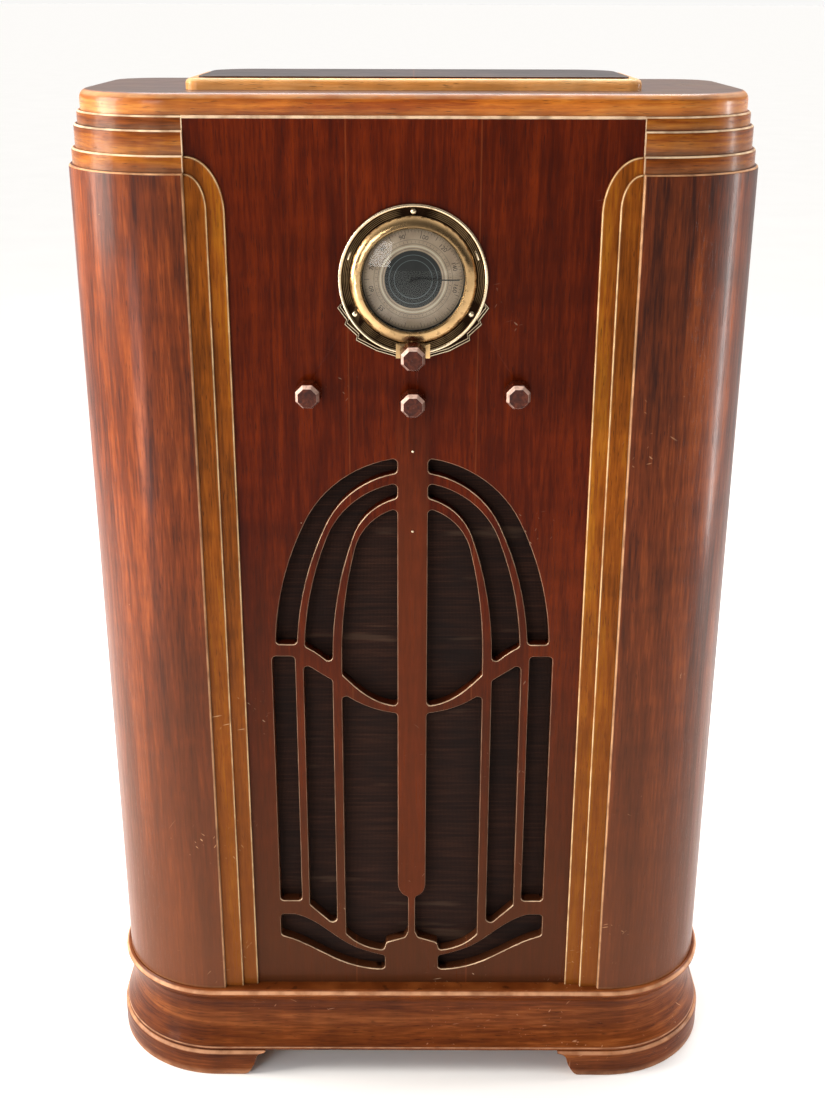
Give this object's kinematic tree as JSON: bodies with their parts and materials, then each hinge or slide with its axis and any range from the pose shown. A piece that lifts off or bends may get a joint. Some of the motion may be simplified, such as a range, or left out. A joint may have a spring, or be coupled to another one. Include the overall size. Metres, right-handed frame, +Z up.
{
  "type": "console radio",
  "caption": "Floor-standing console radio: bent-corner walnut cabinet, arched cut-out grille over cloth, round brass-rimmed dial, faceted knobs, chassis and loudspeaker inside an open back.",
  "frame": {"origin": "on the floor, under the middle of the whole object's width and depth", "axes": "+Z up along the height, -Y out of the front panel, +X to the right seen from the front"},
  "size_m": [0.64, 0.3192, 1.002],
  "materials": {
    "walnut_panel": "gloss lacquer over walnut veneer",
    "walnut_posts": "gloss lacquer over walnut veneer",
    "walnut_trim": "gloss lacquer over figured walnut",
    "walnut_top": "gloss lacquer",
    "walnut_plinth": "worn gloss lacquer",
    "plain_board": "unfinished plywood",
    "woven_cloth": "woven",
    "cone_paper": "pressed paper",
    "plated_steel": "cadmium plated",
    "black_steel": "black enamel",
    "bright_steel": "turned",
    "can_aluminium": "drawn",
    "lacquered_brass": "lacquered, darkened in the recesses",
    "dial_enamel": "printed enamel",
    "clear_glass": "clear",
    "brown_bakelite": "moulded, worn",
    "black_bakelite": "moulded",
    "coil_wire": "wound wire in varnished cloth",
    "black_rubber": "moulded"
  },
  "bodies": {
    "cabinet": {"aerial_terminals": "black_bakelite", "band_switch": "black_steel", "bottom_board": "plain_board", "chassis": "plated_steel", "chassis_bolts": "bright_steel", "chassis_cans": "can_aluminium", "chassis_shelf": "plain_board", "condenser_frame": "plated_steel", "cone_surround": "cone_paper", "cord_grommet": "black_rubber", "dial_bracket": "plated_steel", "dial_glass": "clear_glass", "dial_lamps": "lacquered_brass", "dial_plate": "dial_enamel", "escutcheon": "lacquered_brass", "escutcheon_screws": "lacquered_brass", "field_coil": "coil_wire", "front_feet": "walnut_plinth", "front_panel": "walnut_panel", "glass_ring": "plated_steel", "glass_tubes": "clear_glass", "grille_cloth": "woven_cloth", "inner_strips": "walnut_trim", "left_corner_post": "walnut_posts", "lower_cornice_band": "walnut_trim", "magnet_pot": "black_steel", "middle_cornice_band": "walnut_trim", "outer_strips": "walnut_trim", "output_transformer": "black_steel", "plinth_corners": "walnut_plinth", "plinth_front": "walnut_plinth", "plinth_sides": "walnut_plinth", "power_transformer": "black_steel", "rear_feet": "walnut_plinth", "rear_posts": "walnut_posts", "right_corner_post": "walnut_posts", "shelf_cleats": "plain_board", "shielded_tubes": "can_aluminium", "side_panels": "walnut_posts", "speaker_baffle": "plain_board", "speaker_basket": "plated_steel", "speaker_bolts": "bright_steel", "tone_control": "black_steel", "top_board": "walnut_top", "top_riser": "walnut_top", "tube_bases": "black_bakelite", "upper_cornice_band": "walnut_trim", "volume_control": "black_steel"},
    "dial_drive": {"condenser_rotor": "can_aluminium", "drive_disc": "can_aluminium", "dial_pointer": "lacquered_brass"},
    "tuning": {"tuning_knob": "brown_bakelite", "tuning_shaft": "bright_steel"},
    "volume": {"volume_knob": "brown_bakelite", "volume_shaft": "bright_steel"},
    "tone": {"tone_knob": "brown_bakelite", "tone_shaft": "bright_steel"},
    "band": {"band_knob": "brown_bakelite", "band_shaft": "bright_steel"},
    "cone": {"speaker_cone": "cone_paper"}
  },
  "joints": [
    {"name": "dial_turn", "type": "hinge", "parent": "cabinet", "child": "dial_drive", "pos_m": [0, -0.0714, 0.8375], "axis": [0, -1, 0], "range_deg": [0, 180]},
    {"name": "tuning_turn", "type": "hinge", "parent": "cabinet", "child": "tuning", "pos_m": [0, -0.1414, 0.773], "axis": [0, -1, 0], "range_deg": [-1440, 0]},
    {"name": "volume_turn", "type": "hinge", "parent": "cabinet", "child": "volume", "pos_m": [-0.0925, -0.1414, 0.7385], "axis": [0, 1, 0], "range_deg": [0, 300]},
    {"name": "tone_turn", "type": "hinge", "parent": "cabinet", "child": "tone", "pos_m": [0.0925, -0.1414, 0.7385], "axis": [0, 1, 0], "range_deg": [0, 300]},
    {"name": "band_turn", "type": "hinge", "parent": "cabinet", "child": "band", "pos_m": [0, -0.1414, 0.7305], "axis": [0, 1, 0], "range_deg": [-30, 30]},
    {"name": "cone_slide", "type": "slide", "parent": "cabinet", "child": "cone", "axis": [0, 1, 0], "range_m": [-0.001, 0.001], "stiffness_N_per_m": 1500}
  ],
  "couplings": [
    {"joint": "tuning_turn", "follows": "dial_turn", "ratio": -8}
  ]
}
